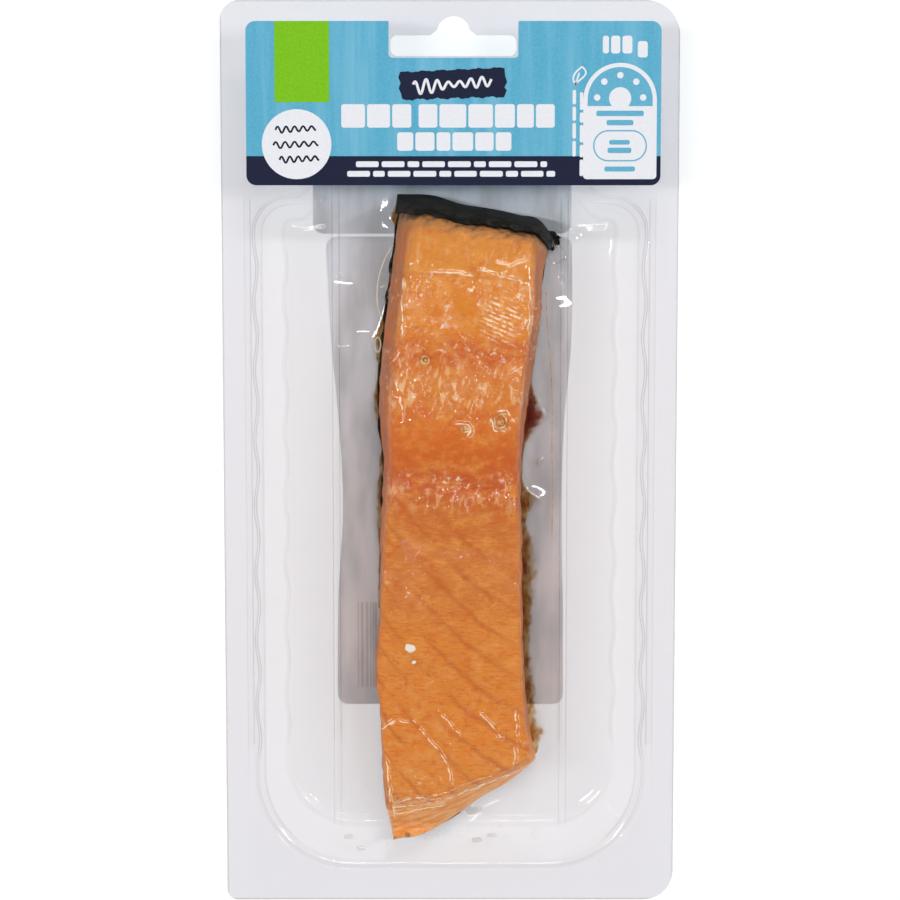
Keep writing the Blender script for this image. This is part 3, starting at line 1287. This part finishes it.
def tub_ring(share, inset):
    """Places round the tub by share of the way, in from its rim by an inset."""
    half = TUB_HALF_WIDTH - inset
    top, bottom = TUB_TOP - inset, TUB_BOTTOM + inset
    width, length = 2 * TUB_HALF_WIDTH, TUB_TOP - TUB_BOTTOM
    way = share * 2 * (width + length)
    sides = [way < width, way < width + length, way < 2 * width + length]
    x = np.select(sides, [way / width, 1 + 0 * way, 1 - (way - width - length) / width], 0.0)
    back_up = 1 - (way - 2 * width - length) / length
    v = np.select(sides, [0 * way, (way - width) / length, 1 + 0 * way], back_up)
    x, y = (2 * x - 1) * half, top + (bottom - top) * v
    radius = np.where(y > 0, np.maximum(TUB_RADIUS_TOP - inset, 0.8), TUB_RADIUS_BOTTOM - inset)
    centre_x = np.clip(x, radius - half, half - radius)
    centre_y = np.clip(y, bottom + radius, top - radius)
    reach = np.maximum(np.hypot(x - centre_x, y - centre_y), 1e-9)
    x = centre_x + (x - centre_x) * radius / reach
    y = centre_y + (y - centre_y) * radius / reach
    straight = np.abs(x) > half - 0.01
    x = np.where(straight, x - np.sign(x) * flute(y), x)
    y = np.where(y > top - radius, y + lobe_rise(x), y)
    return x, y


def make_tray(material):
    """The clear formed tray: flange, fluted tub, floor ribs and flange grooves."""
    profile = np.array(((-60.0, FLANGE_TOP), (-8.0, FLANGE_TOP)) + rounded_profile(), float)

    def place(s, v):
        station = np.rint(v * (len(profile) - 1)).astype(int)
        inset, level = profile[station].T
        x, y = tub_ring(s, np.maximum(inset, -1.2))
        outside = inset < -1.2
        grown_x, grown_y = flange_places(s, inset)
        return np.where(outside, grown_x, x), np.where(outside, grown_y, y), level

    bm = mapped_grid(TRAY_AROUND, len(profile) - 1, place)
    merge(bm)
    inner = [edge for edge in border_edges(bm) if edge.verts[0].co.z < FLOOR_TOP + 0.5]
    bmesh.ops.contextual_create(bm, geom=inner)
    bmesh.ops.recalc_face_normals(bm, faces=bm.faces)
    bm.normal_update()
    if max(bm.faces, key=lambda face: face.calc_area()).normal.z < 0:
        bmesh.ops.reverse_faces(bm, faces=bm.faces)
    tray = add_object("formed_tray", bm, material)
    thicken(tray, TRAY_SHEET, -1.0)
    trim_to_pack(tray, material)
    for x, top, bottom in RIBS:
        press_rib(tray, x, top, bottom, material)
    for side in (-1, 1):
        press_groove(tray, side * GROOVE_X, material)
    shade_by_angle(tray, 32)
    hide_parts("tray")
    return tray


def rounded_profile():
    """The wall's profile with its rim and foot rounded through more points."""
    insets, levels = np.array(TUB_PROFILE, float).T
    fine = np.array([
        -1.2, -1.0, -0.7, -0.4, -0.1, 0.2, 0.5, 0.8, 1.6, 3.0, 4.4, 5.2, 5.6, 6.0, 6.4, 6.8, 7.2, 7.6,
    ])
    curved = np.interp(fine, insets, levels)
    rim = smooth((0.8 - fine) / 2.0)
    curved = np.where(fine < 0.8, FLANGE_TOP - 3.15 * (1 - rim) * ((fine + 1.2) / 2.0) ** 0.6, curved)
    foot = np.clip((7.6 - fine) / 2.4, 0, 1)
    curved = np.where(fine > 5.2, FLOOR_TOP + 3.55 * foot**1.9, curved)
    return tuple(zip(fine.tolist(), curved.tolist()))


def flange_places(share, inset):
    """Places outside the tub's rim, spreading to beyond the pack's outline."""
    x, y = tub_ring(share, np.full_like(share, -1.2))
    spread = np.where(inset < -20, 1.0, 0.35)
    half, end = PACK_WIDTH / 2 + TRIM, PACK_LENGTH / 2 + TRIM
    grow = np.minimum(half / np.maximum(np.abs(x), 1e-6), end / np.maximum(np.abs(y), 1e-6))
    return x * (1 + (grow - 1) * spread), y * (1 + (grow - 1) * spread)


def capsule(name, x, top, bottom, half_width, half_height, level, material):
    """A long bar with round ends, its middle at a level."""
    bm = bmesh.new()
    bmesh.ops.create_uvsphere(bm, u_segments=32, v_segments=32, radius=1.0)
    middle, reach = (top + bottom) / 2, (top - bottom) / 2 - half_width
    for vert in bm.verts:
        shift = math.copysign(reach, vert.co.y) if abs(vert.co.y) > 1e-6 else 0.0
        place = (x + vert.co.x * half_width, middle + shift + vert.co.y * half_width)
        vert.co = (*place, level + vert.co.z * half_height)
    return add_object(name, bm, material)


def press_rib(sheet, x, top, bottom, material):
    """Forms a low hollow rib in the tray's floor: a bar joined on above and a smaller one cut from below."""
    sunk = 2.0
    outer = capsule("rib", x, top, bottom, 3.2, sunk + 0.7, FLOOR_TOP - sunk, material)
    keep_above(outer, FLOOR_TOP - TRAY_SHEET / 2, material)
    boolean(sheet, outer, "UNION")
    inner = capsule("hollow", x, top - 0.5, bottom + 0.5, 2.7, sunk + 0.25, FLOOR_TOP - sunk, material)
    boolean(sheet, inner, "DIFFERENCE")


def keep_above(obj, level, material):
    """Cuts away what is below a level."""
    size = PACK_LENGTH
    cutter = plates("cutter", [rounded_box(-size, size, -size, size, [1.0] * 4)], level - 20, level, material)
    boolean(obj, cutter, "DIFFERENCE")


def press_groove(sheet, x, material):
    """Forms a groove in the flange: a channel joined on below and a smaller one cut from above."""
    def channel(width, low, high, trim):
        radii = [width / 2 - 0.05] * 4
        outline = rounded_box(x - width / 2, x + width / 2, GROOVE_BOTTOM + trim, GROOVE_TOP - trim, radii)
        return plates("groove", [outline], low, high, material)

    under = FLANGE_TOP - TRAY_SHEET
    boolean(sheet, channel(GROOVE_WIDTH + 0.5, under - GROOVE_DEPTH + 0.1, under + 0.1, 0.0), "UNION")
    boolean(sheet, channel(GROOVE_WIDTH, FLANGE_TOP - GROOVE_DEPTH, FLANGE_TOP + 1, 0.25), "DIFFERENCE")


# The labels

LABEL_LEFT = -53.3
LABEL_RIGHT = 55.1
LABEL_TOP = 114.6
LABEL_BOTTOM = 72.0
LABEL_FOOT = 22.75
LABEL_FACE = 23.0
LABEL_RADIUS = 2.6
NOTCH_HALF_WIDTH = 16.9
NOTCH_BOTTOM = 105.1
BAND_TOP = 79.6
INK = 0.02


def box_outline(left, right, bottom, top, radius=0.4):
    """Outline of a small rounded rectangle."""
    return rounded_box(left, right, bottom, top, [radius] * 4)


def disc_outline(x, y, radius, steps=48):
    """Outline of a disc."""
    return arc(x, y, radius, 0, 360 - 360 / steps, steps - 1)


def make_header_label(blue, navy, green, white, sky):
    """The printed label across the head of the pack, with plain shapes for its print."""
    notch_left, notch_right = SLOT_X - NOTCH_HALF_WIDTH, SLOT_X + NOTCH_HALF_WIDTH
    outline = rounded_box(LABEL_LEFT, LABEL_RIGHT, LABEL_BOTTOM, LABEL_TOP, [LABEL_RADIUS] * 4)
    corner = CORNER_STEPS + 1
    notch = (
        [(notch_right, LABEL_TOP)]
        + arc(notch_right - 1, NOTCH_BOTTOM + 1, 1.0, 0, -90)
        + arc(notch_left + 1, NOTCH_BOTTOM + 1, 1.0, -90, -180)
        + [(notch_left, LABEL_TOP)]
    )
    outline = outline[:corner] + notch + outline[corner:]
    label = plates("header_label", [outline], LABEL_FOOT, LABEL_FACE, blue)
    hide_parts("front_label")
    level = LABEL_FACE
    pieces = [label]

    def printed(name, outlines, material):
        pieces.append(plates(name, outlines, level, level + INK, material))

    def brushed(name, points, width, material):
        pieces.append(stroke(name, points, width, level, material))

    lower_corners = [0.05, 0.05, LABEL_RADIUS, LABEL_RADIUS]
    printed("print_band", [rounded_box(LABEL_LEFT, LABEL_RIGHT, LABEL_BOTTOM, BAND_TOP, lower_corners)], navy)
    printed("print_tab", [box_outline(-45.8, -31.5, 93.6, LABEL_TOP, 0.05)], green)
    printed("print_brush", [brush_outline()], navy)
    level += INK
    arch = arc(44.4, 94.2, 9.6, 0, 180, 32) + arc(35.8, 74.6, 1.0, 180, 270, 6)
    arch += arc(53.0, 74.6, 1.0, 270, 360, 6)
    printed("print_panel", [arch, disc_outline(-40.1, 82.7, 9.1)], white)
    words = blocks(-28.4, (6.2, 6.0, 5.0), 87.0, 93.1)
    words += blocks(-8.2, (4.9, 7.0, 6.4, 5.2, 4.4, 4.9), 87.0, 93.1)
    words += blocks(-13.8, (4.2, 5.0, 3.6, 5.4, 4.8, 4.1), 81.0, 85.8)
    words += word_row(-24.6, 25.4, 77.5, 1.5, 1)
    words += word_row(-26.9, 27.5, 75.0, 1.5, 2)
    words += blocks(39.8, (1.6, 2.4, 2.6), 106.2, 110.8) + blocks(48.9, (2.6,), 105.2, 109.4)
    words += [box_outline(x, x + 0.9, low, high, 0.4) for x, low, high in side_words()]
    printed("print_words", words, white)
    brushed("print_scribble", scribble_points(), 0.34, white)
    brushed("print_leaf", leaf_points(), 0.22, white)
    level += INK
    printed("print_dial", [arc(44.4, 94.2, 8.5, 0, 180, 32) + [(35.9, 92.6), (52.9, 92.6)]], sky)
    brushed("print_pill", box_outline(37.6, 51.3, 78.4, 86.2, 3.8) + [(51.3, 82.4)], 0.18, sky)
    lines = [box_outline(38.2, 50.6, 90.0, 91.4, 0.5), box_outline(40.9, 47.9, 87.6, 89.0, 0.5)]
    lines += [box_outline(41.6, 47.0, 82.6, 83.8, 0.5), box_outline(41.2, 47.4, 80.4, 81.8, 0.5)]
    lines.append(box_outline(40.4, 48.4, 75.6, 76.9, 0.5))
    printed("print_small_bars", lines, sky)
    for k, points in enumerate(disc_waves()):
        brushed("print_wave_%d" % (k + 1), points, 0.26, navy)
    level += INK
    dots = [disc_outline(44.4, 94.6, 2.9)]
    for turn in (math.radians(degrees) for degrees in (178, 134, 90, 46, 2)):
        dots.append(disc_outline(44.4 + 6.0 * math.cos(turn), 94.6 + 6.0 * math.sin(turn), 0.85, 16))
    printed("print_dial_dots", dots, white)
    return pieces


def blocks(left, widths, low, high):
    """Upright blocks side by side, in place of the print's letters."""
    found = []
    for width in widths:
        found.append(box_outline(left, left + width, low, high, 0.7))
        left += width + 0.55
    return found


def brush_outline():
    """A ragged brushed patch."""
    steps = 40
    top, low = [], []
    for k in range(steps + 1):
        wave = 0.14 * math.sin(k * 0.9) + 0.1 * math.sin(k * 2.3 + 1)
        top.append((-13.0 + 27.2 * k / steps, 101.4 + 0.03 * k + wave))
        low.append((14.1 - 26.6 * k / steps, 95.0 - 0.02 * k - 1.4 * wave))
    right = [(14.8, 96.6), (14.2, 97.5), (14.9, 98.8), (14.4, 100.4)]
    left = [(-12.8, 95.9), (-13.4, 97.2), (-12.9, 98.6), (-13.5, 100.0)]
    return low + left + top + right[::-1]


def word_row(left, right, y, height, seed):
    """A row of small bars that stands for a line of print."""
    bars, x, k = [], left, seed
    while x < right - 1:
        length = 3.0 + 3.4 * abs(math.sin(k * 2.1))
        end = min(x + length, right)
        bars.append(box_outline(x, end, y - height / 2, y + height / 2, 0.45))
        x, k = end + 0.8, k + 1
    return bars


def side_words():
    """Two columns of small upright bars beside the panel."""
    found = []
    for x, low, high in ((33.9, 74.4, 96.2), (32.0, 79.5, 96.8)):
        y, k = low, 1
        while y < high - 1:
            end = min(y + 2.4 + 2.2 * abs(math.sin(k * 1.7 + x)), high)
            found.append((x, y, end))
            y, k = end + 0.6, k + 1
    return found


def scribble_points():
    """A loose scribbled wave across the brushed patch."""
    steps = 160

    def spot(t):
        swing = (2.0 - 0.8 * t) * math.sin(44 * t + 0.6) * (0.7 + 0.3 * math.sin(9 * t))
        return -9.6 + 20.4 * t, 97.4 + 1.6 * t + swing

    return [spot(k / steps) for k in range(steps + 1)]


def disc_waves():
    """Three short scribbled waves on the white disc."""
    turns = [k / 48 for k in range(49)]
    return [
        [(left + (right - left) * t, y + 0.9 * math.sin(30 * t) * (1 - 0.4 * t) + 0.5 * t) for t in turns]
        for left, right, y in ((-45.6, -35.0, 86.4), (-46.2, -34.4, 82.4), (-44.6, -34.2, 78.6))
    ]


def leaf_points():
    """The outline of a plain leaf with its stalk."""
    turns = [k / 24 for k in range(25)]
    right = [(32.6 + 1.8 * t + 1.7 * math.sin(math.pi * t**1.3), 98.2 + 4.6 * t) for t in turns]
    left = [(32.6 + 1.8 * t - 1.2 * math.sin(math.pi * t), 98.2 + 4.6 * t) for t in turns[::-1]]
    return right + left[1:] + [(33.2, 99.6), (33.7, 101.2)]


def stroke(name, points, width, level, material):
    """A flat brushed line along points: a thin strip that is extruded into a plate."""
    path = np.array(points, float)
    run = np.gradient(path, axis=0)
    run /= np.maximum(np.linalg.norm(run, axis=1)[:, None], 1e-9)
    normal = np.stack([-run[:, 1], run[:, 0]], axis=1)
    steps = len(path) - 1

    def place(s, v):
        k = np.rint(s * steps).astype(int)
        spot = path[k] + normal[k] * (width * (1 - 2 * v))[:, None]
        return spot[:, 0], spot[:, 1], np.full_like(s, level)

    bm = mapped_grid(steps, 1, place)
    raise_faces(bm, bm.faces[:], INK)
    bmesh.ops.recalc_face_normals(bm, faces=bm.faces)
    obj = add_object(name, bm, material)
    obj.data.shade_flat()
    return obj


# Juice and bubbles beside the fish

# Patches of jelly: side of the fish, place up the pack, half length and width
JELLY = (
    (1, 9.0, 6.0, 5.5), (1, -14.0, 3.5, 4.2), (1, -30.0, 10.0, 4.0), (1, -46.0, 8.0, 3.0),
    (1, -63.0, 9.0, 2.4), (1, -77.0, 7.0, 2.8), (-1, 30.0, 6.0, 2.4), (-1, 12.0, 7.0, 1.8),
    (-1, -12.0, 12.0, 1.6), (-1, 64.0, 3.0, 2.4),
)

# Rings round flat air bubbles under the film: place, radius and, off the fish, level
RINGS = ((13.2, 10.2, 1.7, None), (-6.5, 26.4, 1.0, None), (28.6, 53.0, 2.4, 3.6))

# Drops and specks: place, half sizes and, off the fish, level
DROPS = (
    (4.0, 8.1, 1.2, 0.9, None), (-10.4, -50.6, 1.6, 1.3, None), (-9.6, -54.6, 0.6, 0.5, None),
    (13.4, 10.0, 0.8, 0.8, None), (-6.5, 26.2, 0.5, 0.5, None), (-28.0, -107.4, 1.3, 0.9, 4.0),
    (-24.4, -109.4, 1.2, 0.7, 8.5), (7.5, -108.6, 1.5, 0.8, 2.35), (11.5, -107.4, 1.4, 0.7, 2.35),
    (6.4, -100.2, 2.4, 1.2, 2.35), (24.6, -3.0, 1.0, 1.3, 3.0),
)

# Scraps of skin on the tray beside the dorsal end: place and half sizes
SCRAPS = ((27.2, 58.4, 1.7, 0.8), (28.5, 57.5, 1.3, 0.7), (28.9, 56.3, 0.8, 1.2), (27.7, 54.9, 0.6, 1.0))

# A thread of brown juice along a fold of the film, and how wide it is
THREAD = ((25.9, 44.0), (26.4, 34.0), (27.2, 24.0), (27.7, 14.0), (27.7, 1.0), (27.9, -12.0), (27.8, -24.0))
THREAD_WIDTH = 0.09
THREAD_LEVEL = 2.62

# Flat air bubbles at the fish's left foot: places up the pack, and how far their edges stand out
LENS = ((55.0, 0.8), (51.5, 2.2), (48.0, 3.0), (43.0, 3.1), (39.0, 2.4), (36.0, 1.2))
FOOT_BUBBLE = (28.6, 1.3, 0.8, 2.0)


def face_level(x, y):
    """Level of the flesh's face at a place, near enough for what lies on it."""
    return float(along(FACE_HEIGHT, y) - CROWN * ((x - 2.0) / 20.0) ** 2 - main_relief(x, y))


def ring(name, x, y, radius, level, material):
    """A thin uneven ring that lies flat."""
    bm = bmesh.new()
    made = bmesh.ops.create_circle(bm, segments=12, radius=0.3)
    upright = Matrix.Rotation(math.radians(90), 3, "X")
    bmesh.ops.rotate(bm, cent=(0, 0, 0), matrix=upright, verts=made["verts"])
    bmesh.ops.translate(bm, vec=(radius, 0, 0), verts=made["verts"])
    bmesh.ops.spin(
        bm, geom=bm.edges[:], cent=(0, 0, 0), axis=(0, 0, 1), angle=math.tau, steps=40, use_merge=True,
    )
    merge(bm, 1e-3)
    for vert in bm.verts:
        swell = 1 + 0.18 * noise.noise(Vector((vert.co.x / radius, vert.co.y / radius, x)))
        vert.co = (x + vert.co.x * swell, y + vert.co.y * swell, level + vert.co.z * 0.7)
    return add_object(name, bm, material)


def lump(name, x, y, half_x, half_y, level, half_z, material, seed):
    """A flattened rounded lump with an uneven outline."""
    bm = bmesh.new()
    bmesh.ops.create_icosphere(bm, subdivisions=4, radius=1.0)
    for vert in bm.verts:
        swell = 1 + 0.22 * noise.noise(vert.co * 1.6 + Vector((seed * 3.1, 0, 0)))
        place = vert.co * swell
        vert.co = (x + place.x * half_x, y + place.y * half_y, level + place.z * half_z)
    return add_object(name, bm, material)


def jelly_width(side, y):
    """How far the jelly reaches out from the fish's edge."""
    width = np.full_like(y, 0.25)
    for patch_side, place, half_length, reach in JELLY:
        if patch_side == side:
            width = width + reach * hill(y - place, half_length) * (1 + 0.3 * lumps(0 * y, y, 4.0, place))
    return width


def jelly_strip(name, side, top, bottom, material):
    """A flat bead of jelly along one side of the fish, drawn to a point at both ends."""
    edge = LEFT_EDGE if side < 0 else RIGHT_EDGE

    def place(s, v):
        y = top + (bottom - top) * v
        ends = np.sqrt(np.clip(4 * v * (1 - v) * 6, 0, 1))
        half = (jelly_width(side, y) + 0.6) * ends
        turn = 2 * np.pi * s
        x = along(edge, y) + side * half * (0.4 + 0.6 * np.cos(turn))
        return x, y, 1.75 + 0.45 * ends * np.sin(turn)

    bm = mapped_grid(24, 300, place)
    merge(bm, 1e-3)
    strip = add_object(name, bm, material)
    x, y, _ = mesh_points(strip).T
    reach = (x - along(edge, y)) * side / np.maximum(jelly_width(side, y), 0.5)
    blotchy = 0.25 * lumps(x, y, 2.5, 51) + 0.2 * lumps(x, y, 1.1, 52)
    keep_attribute(strip, "thickness", smooth((0.95 - reach + blotchy) / 0.5))
    keep_attribute(strip, "browned", 0.9 * hill(y - 9.0, 8.0) * (x > 2))
    return strip


def make_juice(jelly, clear, speck, skin):
    """Jelly along the fish's foot, flat air bubbles under the film, and small scraps."""
    pieces = [
        jelly_strip("juice_right", 1, 40.0, -84.5, jelly),
        jelly_strip("juice_left", -1, 67.0, -44.0, jelly),
    ]
    white = paper_material("white_protein", (240, 232, 214))
    for k, (x, y, half_x, half_y, level) in enumerate(DROPS):
        on_fish = white if y < -40 else speck
        material = clear if level else on_fish
        level = level or face_level(x, y)
        pieces.append(lump("drop_%d" % (k + 1), x, y, half_x, half_y, level, 0.35, material, 20 + k))
    for k, (x, y, radius, level) in enumerate(RINGS):
        material = clear if level else speck
        pieces.append(ring("bubble_%d" % (k + 1), x, y, radius, level or face_level(x, y) + 0.1, material))
    thread = np.linspace(THREAD[0][1], THREAD[-1][1], 60)
    course = [(float(along([(y, x) for x, y in THREAD], y)), y) for y in thread]
    pieces.append(stroke("juice_thread", course, THREAD_WIDTH, THREAD_LEVEL, speck))
    rows = np.linspace(LENS[0][0], LENS[-1][0], 40)
    lens = [(float(along(LEFT_EDGE, y) - along(LENS, y)), y) for y in rows]
    pieces.append(stroke("bubble_edge", lens, 0.13, 2.9, white))
    y, out, half_x, half_y = FOOT_BUBBLE
    turns = np.linspace(0, math.tau, 40)
    middle = float(along(LEFT_EDGE, y)) - out
    foot = [(middle + half_x * math.cos(a), y + half_y * math.sin(a)) for a in turns]
    pieces.append(stroke("bubble_foot", foot, 0.12, 2.9, white))
    for k, (x, y, half_x, half_y) in enumerate(SCRAPS):
        scrap = lump("skin_scrap_%d" % (k + 1), x, y, half_x, half_y, 1.5, 0.5, skin, 40 + k)


# The studio

# Soft lights: name, place and size in metres, and power in watts
LIGHTS = (
    ("light_left", (-0.5, 0.12, 0.92), (0.05, 0.5), 3.6),
    ("light_right", (0.52, 0.2, 0.9), (0.05, 0.5), 3.1),
    ("light_head", (0.1, 0.62, 0.86), (0.45, 0.06), 2.5),
    ("light_foot", (0.1, -1.0, 0.5), (0.5, 0.1), 1.8),
)


def make_studio():
    """White floor, soft lights and the camera."""
    bm = bmesh.new()
    bmesh.ops.create_grid(bm, x_segments=1, y_segments=1, size=6000.0)
    bmesh.ops.translate(bm, vec=(0, 0, -0.3), verts=bm.verts)
    floor = mesh_object("floor", bm, floor_material())
    world = bpy.data.worlds.new("studio")
    bpy.context.scene.world = world
    world.use_nodes = True
    light_world(world.node_tree)
    for name, place, size, power in LIGHTS:
        softbox(name, place, size, power)
    data = bpy.data.cameras.new("camera")
    data.lens = CAMERA_LENS
    data.sensor_width = 36.0
    camera = bpy.data.objects.new("camera", data)
    bpy.context.scene.collection.objects.link(camera)
    camera.location = Vector(CAMERA_PLACE) * MM
    camera.rotation_euler = (math.radians(CAMERA_TILT), 0, 0)
    bpy.context.scene.camera = camera
    bpy.context.scene.view_settings.view_transform = "Standard"
    bpy.context.scene.cycles.transparent_max_bounces = CLEAR_SURFACES
    bpy.context.scene.cycles.diffuse_bounces = MATTE_BOUNCES


def light_world(tree):
    """Soft light from all round, darker straight overhead, so that flat plastic stays clear."""
    place = add_node(tree, "TexCoord").outputs["Generated"]
    height = add_node(tree, "SeparateXYZ", {"Vector": place}).outputs["Z"]
    strength = add_node(tree, "MapRange", {
        "Value": height, "From Min": 0.8, "From Max": 0.97, "To Min": 0.38, "To Max": 0.04,
    }, interpolation_type="SMOOTHSTEP").outputs[0]
    background = tree.nodes["Background"]
    background.inputs["Color"].default_value = WHITE
    tree.links.new(strength, background.inputs["Strength"])


def softbox(name, place, size, power):
    """A rectangular light that looks at the pack."""
    data = bpy.data.lights.new(name, "AREA")
    data.shape = "RECTANGLE"
    data.size, data.size_y = size
    data.energy = power
    light = bpy.data.objects.new(name, data)
    bpy.context.scene.collection.objects.link(light)
    light.location = place
    light.rotation_euler = (-Vector(place)).to_track_quat("-Z", "Y").to_euler()


def main():
    """Builds the pack around the frame."""
    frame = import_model()
    make_studio()
    make_flesh(flesh_material())
    skin = skin_material()
    make_skin(skin)
    film = clear_material("clear_film", FILM_TINT, FILM_SEALED, film_lines)
    make_film(film, clear_material("puckered_film", FILM_TINT, FILM_TINT, film_lines, film_ripple))
    make_tray(clear_material("clear_tray", TRAY_TINT, TRAY_SEALED, tray_lines))
    make_header_label(
        paper_material("print_blue", (90, 170, 201), planks=True),
        paper_material("print_navy", (28, 33, 58)),
        paper_material("print_green", (122, 190, 26)),
        paper_material("print_white", (226, 228, 233), 0.02),
        paper_material("print_sky", (100, 174, 204)),
    )
    back = back_paper_material()
    for name in ("back_label_upper", "back_label_lower"):
        label = frame["nodes"][name]
        for slot in label.material_slots:
            slot.material = back
    make_juice(jelly_material(), bubble_material(), protein_material(), skin)


main()
